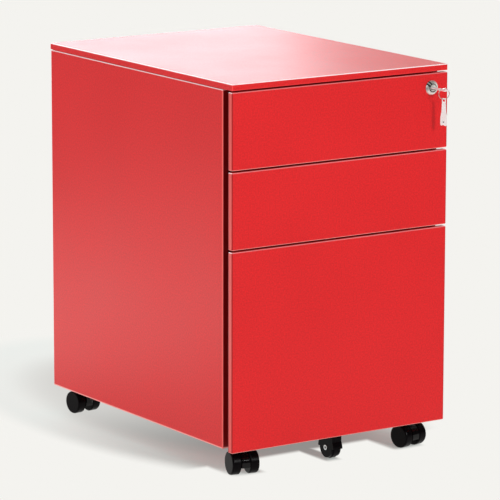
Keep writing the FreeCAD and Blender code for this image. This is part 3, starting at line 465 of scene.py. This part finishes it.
def turned_piece(name, profile, segments, aims):
    """Round pieces turned from one (radius, height) profile, one at each matrix in aims."""
    shape = bmesh.new()
    for aim in aims:
        lathe = bmesh.new()
        rim = [lathe.verts.new((radius, 0, height)) for radius, height in profile]
        edges = [lathe.edges.new(pair) for pair in zip(rim, rim[1:])]
        bmesh.ops.spin(lathe, geom=rim + edges, cent=(0, 0, 0), axis=(0, 0, 1), angle=math.tau,
                       steps=segments, use_duplicate=False)
        bmesh.ops.remove_doubles(lathe, verts=lathe.verts, dist=1e-6)
        bmesh.ops.recalc_face_normals(lathe, faces=lathe.faces)
        bmesh.ops.transform(lathe, matrix=aim, verts=lathe.verts)
        part = bpy.data.meshes.new(name)
        lathe.to_mesh(part)
        lathe.free()
        shape.from_mesh(part)
        bpy.data.meshes.remove(part)
    for face in shape.faces:
        face.smooth = True
    for edge in shape.edges:
        edge.smooth = edge.calc_face_angle(0) < SHARP_TURN
    return new_piece(name, shape)


def hole_shade_steel(name):
    """Dark steel, dark enough to stand in for the shade in a hole, with a ground grain and paler rubbed
    spots.
    """
    material, place = new_finish(name)
    grain = place.noise(3600, 3.0)
    rubbed = place.noise(900, 3.0).rise(0.55, 0.7)
    set_surface(place, {
        "Base Color": rubbed.blend((0.02, 0.018, 0.02), (0.09, 0.085, 0.085)),
        "Metallic": 1.0,
        "Roughness": 0.3 + (grain - 0.5) * 0.2,
        "Normal": grain.bump(0.000008),
    })
    return material


def mill_groove(piece, across, low, high, half, level, depth):
    """Cuts a shallow round-ended groove into one face of a flat piece."""
    tool = bmesh.new()
    ends = [(high, 0.0), (low, math.pi)]
    loop = [(across + half * math.cos(turn + t), end + half * math.sin(turn + t))
            for end, turn in ends for t in (math.pi * k / 10 for k in range(11))]
    floor = tool.faces.new([tool.verts.new((x, y, level - depth)) for x, y in loop])
    raise_faces(tool, [floor], 2 * depth)
    bmesh.ops.recalc_face_normals(tool, faces=tool.faces)
    cutter = new_piece("groove_cutter", tool)
    cut = piece.modifiers.new("groove", "BOOLEAN")
    cut.object = cutter
    cut.solver = "EXACT"
    cut.operation = "DIFFERENCE"
    apply_modifiers(piece)
    bpy.data.objects.remove(cutter)


def rounded(corners, radius, steps=4):
    """An outline whose corners are each cut by a short curve."""
    outline = []
    for k, corner in enumerate(corners):
        here = Vector(corner)
        ends = [here.lerp(Vector(other), min(radius / (Vector(other) - here).length, 0.45))
                for other in (corners[k - 1], corners[(k + 1) % len(corners)])]
        for step in range(steps + 1):
            t = step / steps
            outline.append(tuple(ends[0].lerp(here, t).lerp(here.lerp(ends[1], t), t)))
    return outline


key_low, key_high = (Vector(p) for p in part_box("lock_key"))
lock_x, lock_z = ((key_low[k] + key_high[k]) / 2 for k in (0, 2))
key_front = key_low.y
bow = key_high.x - lock_x
bore_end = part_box("lock_plug")[0][1]
ring_low, ring_high = (Vector(p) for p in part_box("key_ring"))
ring_centre = (ring_low + ring_high) / 2
wire = 0.00052          # radius of the ring's wire
ring_radius = (ring_high.z - ring_low.z) / 2 - wire * 2.1
bow_hole, bow_hole_y = 0.0040, key_front + 0.015
key_half = [(0.0043, key_high.y), (0.0043, bore_end - 0.0014), (0.0026, bore_end - 0.0064),
            (0.0026, bore_end - 0.0104), (bow, bore_end - 0.0112), (bow, key_front + 0.0012),
            (bow - 0.0012, key_front)]
key_outline = key_half + [(-x, y) for x, y in reversed(key_half)]
lock_key = flat_piece("lock_key_blank", rounded(key_outline, 0.0012), [(0, bow_hole_y, bow_hole)],
                      key_high.z - key_low.z, Matrix.Translation((lock_x, 0, lock_z)), "lock_cylinder",
                      nickel_plate("nickel_plate_key", 0.3, 0.3),
                      [(0, bore_end - 0.008, key_high.y - 0.002, 0.0006, 0.0003)])
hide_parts("lock_key")

spare_low, spare_high = (Vector(p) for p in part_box("spare_key"))
spare_turn = math.radians(-60)
spare_x, spare_y = ((spare_low[k] + spare_high[k]) / 2 for k in (0, 1))
spare_top, spare_end = spare_high.z, spare_low.z
spare_thickness, spare_hole, eye = 0.0016, 0.0021, spare_top - 0.0035
spare_half = [(0.0026, spare_top), (0.0032, spare_end + 0.027), (0.0036, spare_end + 0.021),
              (0.0051, spare_end + 0.0125), (0.0053, spare_end + 0.0035), (0.0044, spare_end)]
spare_outline = (spare_half + [(0.0012, spare_end), (0.0, spare_end + 0.0013)]
                 + [(-x, z) for x, z in reversed(spare_half)])
upright = Matrix(((1, 0, 0, 0), (0, 0, -1, 0), (0, 1, 0, 0), (0, 0, 0, 1)))
spare_aim = Matrix.Translation((spare_x, spare_y, 0)) @ Matrix.Rotation(spare_turn, 4, "Z") @ upright
spare_key = flat_piece("spare_key_blank", rounded(spare_outline, 0.0009),
                       [(0, eye, spare_hole)], spare_thickness, spare_aim, "spare",
                       nickel_plate("nickel_plate_spare", 0.38, 0.3),
                       [(0, spare_end + 0.0155, eye - 0.006, 0.0006, 0.00035)])
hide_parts("spare_key")

# A dark rivet at the spare key's foot; its dark colour stands in for the shade in the hole there.
rivet_profile = [(0, 0.0013), (0.00035, 0.0013), (0.0008, 0.001), (0.001, 0.0008), (0.001, -0.0008),
                 (0.0008, -0.001), (0, -0.0013)]
rivet_aim = spare_aim @ Matrix.Translation((0, spare_end + 0.0055, 0))
rivet = turned_piece("spare_key_rivet", rivet_profile, 20, [rivet_aim])
rivet.data.materials.append(hole_shade_steel("rivet_as_hole_shade"))
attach(rivet, "spare")

ring_turn, ring_start, ring_laps = math.radians(-15), -1.2, 1.92
turns = bpy.data.curves.new("split_ring_wire", "CURVE")
turns.dimensions = "3D"
turns.bevel_depth = wire
turns.bevel_resolution = 5
turns.use_fill_caps = True
coil = turns.splines.new("POLY")
steps = 120
coil.points.add(steps)
for k, point in enumerate(coil.points):
    swept = ring_laps * math.tau * k / steps + ring_start
    pitch = (k / steps - 0.5) * 2.05 * wire
    arm = Vector((ring_radius * math.cos(swept), pitch, ring_radius * math.sin(swept)))
    point.co = (*(ring_centre + Matrix.Rotation(ring_turn, 3, "Z") @ arm), 1)
split_ring = bpy.data.objects.new("split_ring", turns)
bpy.context.scene.collection.objects.link(split_ring)
turns.materials.append(chrome_plate("chrome_plate_ring", 0.16))
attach(split_ring, "ring")
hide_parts("key_ring")

# ---------------------------------------------------------------------------- lock bar
# Flat zinc-plated bar that slides in three clips on the right side panel. Its studs catch the
# strikes behind the drawer fronts.

coat(["lock_bar", "lock_bar_guides"], zinc_along[2])

# ---------------------------------------------------------------------------- castors
# Twin-wheel castors: a glossy black nylon hood between two moulded wheels on a steel axle, with a
# stem that clicks into a socket plate under the base pan.

NYLON_BLACK = (0.0016, 0.0010, 0.0014)


def moulded_nylon(name, colour, roughness, ior):
    """Black nylon, smooth from the mould, with scuffs and a little floor dust."""
    material, place = new_finish(name)
    scuff = place.stretched((260.0, 900.0, 900.0)).noise(1.0, 4.0, 0.8).rise(0.55, 0.78)
    flow = place.noise(120, 3.0, 0.8)
    set_surface(place, {
        "Base Color": (scuff * 0.35).blend(colour, scaled(colour, 3.2)),
        "Roughness": roughness + scuff * 0.16 + (flow - 0.5) * 0.1,
        "Normal": flow.bump(0.00006),
        "IOR": ior,
    })
    return material


gloss_nylon = moulded_nylon("gloss_nylon", NYLON_BLACK, 0.07, 1.3)
matt_nylon = moulded_nylon("matt_nylon", scaled(NYLON_BLACK, 1.3), 0.30, 1.14)
CORNERS = ("front_left", "front_right", "rear_left", "rear_right")
for corner in CORNERS:
    coat([f"{corner}_castor_hood"], gloss_nylon)
    coat([f"{corner}_castor_wheel_a", f"{corner}_castor_wheel_b"], matt_nylon)
    coat([f"{corner}_castor_axle"], zinc_along[0])
coat(["castor_sockets"], zinc_along[0])

# ---------------------------------------------------------------------------- anti-tilt wheel
# A hooded nylon fork behind the file drawer's front, with one nylon wheel on a hollow steel axle.
# It runs just above the floor and takes the load when the drawer is pulled out.

coat(["anti_tilt_fork", "anti_tilt_wheel"], matt_nylon)
coat(["anti_tilt_axle"], zinc_along[0])

# ---------------------------------------------------------------------------- screws
# Pan-head screws with a cross recess hold the back panel to the side panels' rear flanges. They are
# cold-headed steel, zinc plated.

SCREW_RADIUS = 0.0035
SCREW_HEAD = 0.002
screw_low, screw_high = (Vector(p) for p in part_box("cabinet_screws"))
levels = sorted(p.z for p in node_places("cabinet_screws"))
screw_levels = (levels[0] + SCREW_RADIUS, (levels[0] + levels[-1]) / 2, levels[-1] - SCREW_RADIUS)
head_aims = [Matrix.Translation((side * (screw_high.x - SCREW_RADIUS), screw_high.y - SCREW_HEAD, level))
             @ Matrix.Rotation(math.radians(-90), 4, "X") @ Matrix.Rotation(turn, 4, "Z")
             for side in (-1, 1)
             for level, turn in zip(screw_levels, (0.3, 1.1, 0.75))]
head_profile = [(0, -0.0045), (0.0019, -0.0045), (0.0019, 0), (SCREW_RADIUS, 0), (SCREW_RADIUS, 0.0007),
                (0.0031, 0.0014), (0.0022, 0.00185), (0.0011, 0.00198), (0, SCREW_HEAD)]
screws = turned_piece("back_screw_heads", head_profile, 36, head_aims)


def cross_cutter(aims):
    """Tapered crosses that cut the recesses into screw heads."""
    tool = bmesh.new()
    for aim in aims:
        for turn in (0, math.pi / 2):
            block = bmesh.ops.create_cube(tool, size=1)["verts"]
            for vertex in block:
                low = vertex.co.z < 0
                vertex.co = Vector((vertex.co.x * (0.0012 if low else 0.0044),
                                    vertex.co.y * (0.0006 if low else 0.0009), 0.0006 if low else 0.003))
            bmesh.ops.transform(tool, matrix=aim @ Matrix.Rotation(turn, 4, "Z"), verts=block)
    return new_piece("cross_cutter", tool)


cutter = cross_cutter(head_aims)
recess = screws.modifiers.new("recess", "BOOLEAN")
recess.object = cutter
recess.solver = "EXACT"
recess.use_self = True
apply_modifiers(screws)
bpy.data.objects.remove(cutter)
screws.data.materials.append(zinc_along[1])
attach(screws, "cabinet")
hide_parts("cabinet_screws")

# ---------------------------------------------------------------------------- studio
# A seamless pale floor that fades into the background, a small key lamp in front, a large soft
# box on the left and a bright card behind that washes over the top.

BACKGROUND = (0.905, 0.896, 0.863)
# The floor's colour for the camera, painted: near black under the cabinet as shadow, and round it darker
# and cyan to cancel the red light the cabinet bounces onto it.
SHADOW_TINT = (0.02, 0.02, 0.02)
OUTER_TINT = (0.536, 0.649, 0.616)
SHADE_MIDDLE = (0.015, 0.195)           # middle of the oval in which the floor's shading shows
SHADE_HALF = (0.271, 0.509)             # and its half widths
SHADE_FRONT, SHADE_FALL = 0.7, 0.447    # how fully it shows in front, and what it loses behind
SHADOW_FRONT = (-0.172, -0.152)         # where it starts behind the fronts,
STRIP_FRONT = (-0.245, -0.225)          # and behind the front castors and the anti-tilt wheel
CASTOR_X, CASTOR_HALF = 0.148, (0.02, 0.034)    # the middle and the soft half width of the
TILT_X, TILT_HALF = 0.006, (0.008, 0.018)       # strips under the castors and the anti-tilt wheel
FLOOR_REACH = 40.0
AMBIENT = 0.62
# Shares of the background's brightness in reflections: the floor close behind the cabinet, where a
# patch glows brighter, though it is no lamp, and paints a broad sheen low on the left side panel;
# the floor far off, which shows dimmer; and the surround in front.
REFLECTED_GLOW, REFLECTED_FAR, REFLECTED_FRONT = 2.4, 0.36, 0.08
CAMERA_PLACE = (-3.022, -4.556, 1.378)
CAMERA_TURNS = (33.64, 11.288, 0.108)   # degrees of yaw to the right, pitch down and roll
CAMERA_LENS, CAMERA_SENSOR = 257.9, 36


def make_floor():
    """A flat disc under the castors. Its shading shows round the cabinet's shadow and nowhere else.
    There its colour is painted: dark under the cabinet as shadow, and darker and cyan round it to
    cancel the red light bounced from the cabinet. Elsewhere it glows in the background's colour, and
    in reflections a patch close behind the cabinet glows brighter still.
    """
    shape = bmesh.new()
    bmesh.ops.create_circle(shape, cap_ends=True, segments=96, radius=FLOOR_REACH)
    floor = new_piece("studio_floor", shape)
    material, place = new_finish("studio_floor_paper")
    across, along = ((place.axis(n) - SHADE_MIDDLE[n]) * (1 / SHADE_HALF[n]) for n in (0, 1))
    reach = across * across + along * along
    castor_strips = 1 - abs(abs(place.axis(0)) - CASTOR_X).rise(*CASTOR_HALF)
    wheel_strip = 1 - abs(place.axis(0) - TILT_X).rise(*TILT_HALF)
    strips = castor_strips.most(wheel_strip) * place.axis(1).rise(*STRIP_FRONT)
    near = (1 - reach.rise(0.92, 1.32)) * place.axis(1).rise(*SHADOW_FRONT).most(strips)
    depth = SHADE_FRONT - SHADE_FALL * place.axis(1).rise(-0.15, 0.35)
    camera, glossy = (place.add("LightPath", {}, {}, f"Is {ray} Ray") for ray in ("Camera", "Glossy"))
    distance = place.add("VectorMath", {"operation": "LENGTH"}, {0: place}, "Value")
    far = distance.rise(0.4, 1.9)
    # A patch of floor behind the cabinet that glows brighter in reflections only, painting a sheen on
    # the side panel.
    bright = distance.rise(0.3, 0.95) * (1 - distance.rise(1.3, 2.5)) * place.axis(1).rise(-0.2, 0.5)
    paper = place.noise(90, 3.0).blend(scaled(BACKGROUND, 0.995), scaled(BACKGROUND, 1.005))
    # Painted shadow: under the cabinet the floor's colour is near black, and round it the cyan tint.
    inner = camera * (1 - reach.rise(0.315, 0.756))
    tinted = inner.blend(camera.blend(paper, OUTER_TINT), SHADOW_TINT)
    matt = place.add("BsdfDiffuse", {}, {"Color": tinted})
    seen = (glossy * far).blend(BACKGROUND, scaled(BACKGROUND, REFLECTED_FAR))
    seen = (glossy * bright).blend(seen, scaled(BACKGROUND, REFLECTED_GLOW))
    glow = place.add("Emission", {}, {"Color": seen})
    mixed = place.add("MixShader", {}, {0: (camera * (1 - near * depth)).most(glossy), 1: matt, 2: glow})
    place.add("OutputMaterial", {}, {"Surface": mixed})
    floor.data.materials.append(material)


def make_world():
    """An even pale surround for light, the background's colour for what looks straight at it, and
    for reflections a surround that is pale behind the cabinet and dark in front."""
    world = bpy.data.worlds.new("studio")
    bpy.context.scene.world = world
    world.use_nodes = True
    world.node_tree.nodes.clear()
    start = Wire(world.node_tree)
    camera, glossy, through = (start.add("LightPath", {}, {}, f"Is {ray} Ray")
                               for ray in ("Camera", "Glossy", "Transmission"))
    depth = start.add("TexCoord", {}, {}, "Generated").axis(1).rise(-0.5, 0.5)
    light = start.add("Background", {}, {"Color": rgba((1, 1, 1)), "Strength": AMBIENT})
    pale = (glossy * (1 - depth)).blend(BACKGROUND, scaled(BACKGROUND, REFLECTED_FRONT))
    view = start.add("Background", {}, {"Color": pale, "Strength": 1.0})
    mixed = start.add("MixShader", {}, {0: camera.most(glossy).most(through), 1: light, 2: view})
    start.add("OutputWorld", {}, {"Surface": mixed})


def soft_box(name, place, target, width, height, power):
    """An area lamp at a place, aimed at a target."""
    lamp = bpy.data.lights.new(name, "AREA")
    lamp.shape = "RECTANGLE"
    lamp.size = width
    lamp.size_y = height
    lamp.energy = power
    holder = bpy.data.objects.new(name, lamp)
    holder.location = place
    holder.rotation_euler = (Vector(target) - Vector(place)).to_track_quat("-Z", "Y").to_euler()
    bpy.context.scene.collection.objects.link(holder)
    return lamp


def make_camera():
    """A long lens that looks down a little on the front and the left side."""
    yaw, pitch, roll = (math.radians(turn) for turn in CAMERA_TURNS)
    camera = bpy.data.cameras.new("studio_camera")
    camera.lens = CAMERA_LENS
    camera.sensor_width = CAMERA_SENSOR
    holder = bpy.data.objects.new("studio_camera", camera)
    aim = Euler((math.pi / 2 - pitch, 0, -yaw)).to_matrix() @ Matrix.Rotation(roll, 3, "Z")
    holder.location = CAMERA_PLACE
    holder.rotation_euler = aim.to_euler()
    bpy.context.scene.collection.objects.link(holder)
    bpy.context.scene.camera = holder


make_floor()
make_world()
soft_box("front_key", (0.2, -3.5, 1.65), (0, -0.2, 0.3), 0.4, 0.4, 50)
soft_box("left_box", (-2.6, -0.5, 1.5), (0, 0, 0.3), 1.6, 1.6, 16.5)
back_card = soft_box("back_card", (0.2, 1.9, 1.28), (0, 0, 0.6), 2.4, 1.6, 37)
back_card.color = (0.95, 0.99, 1.05)
make_camera()
bpy.context.scene.view_settings.view_transform = "Standard"
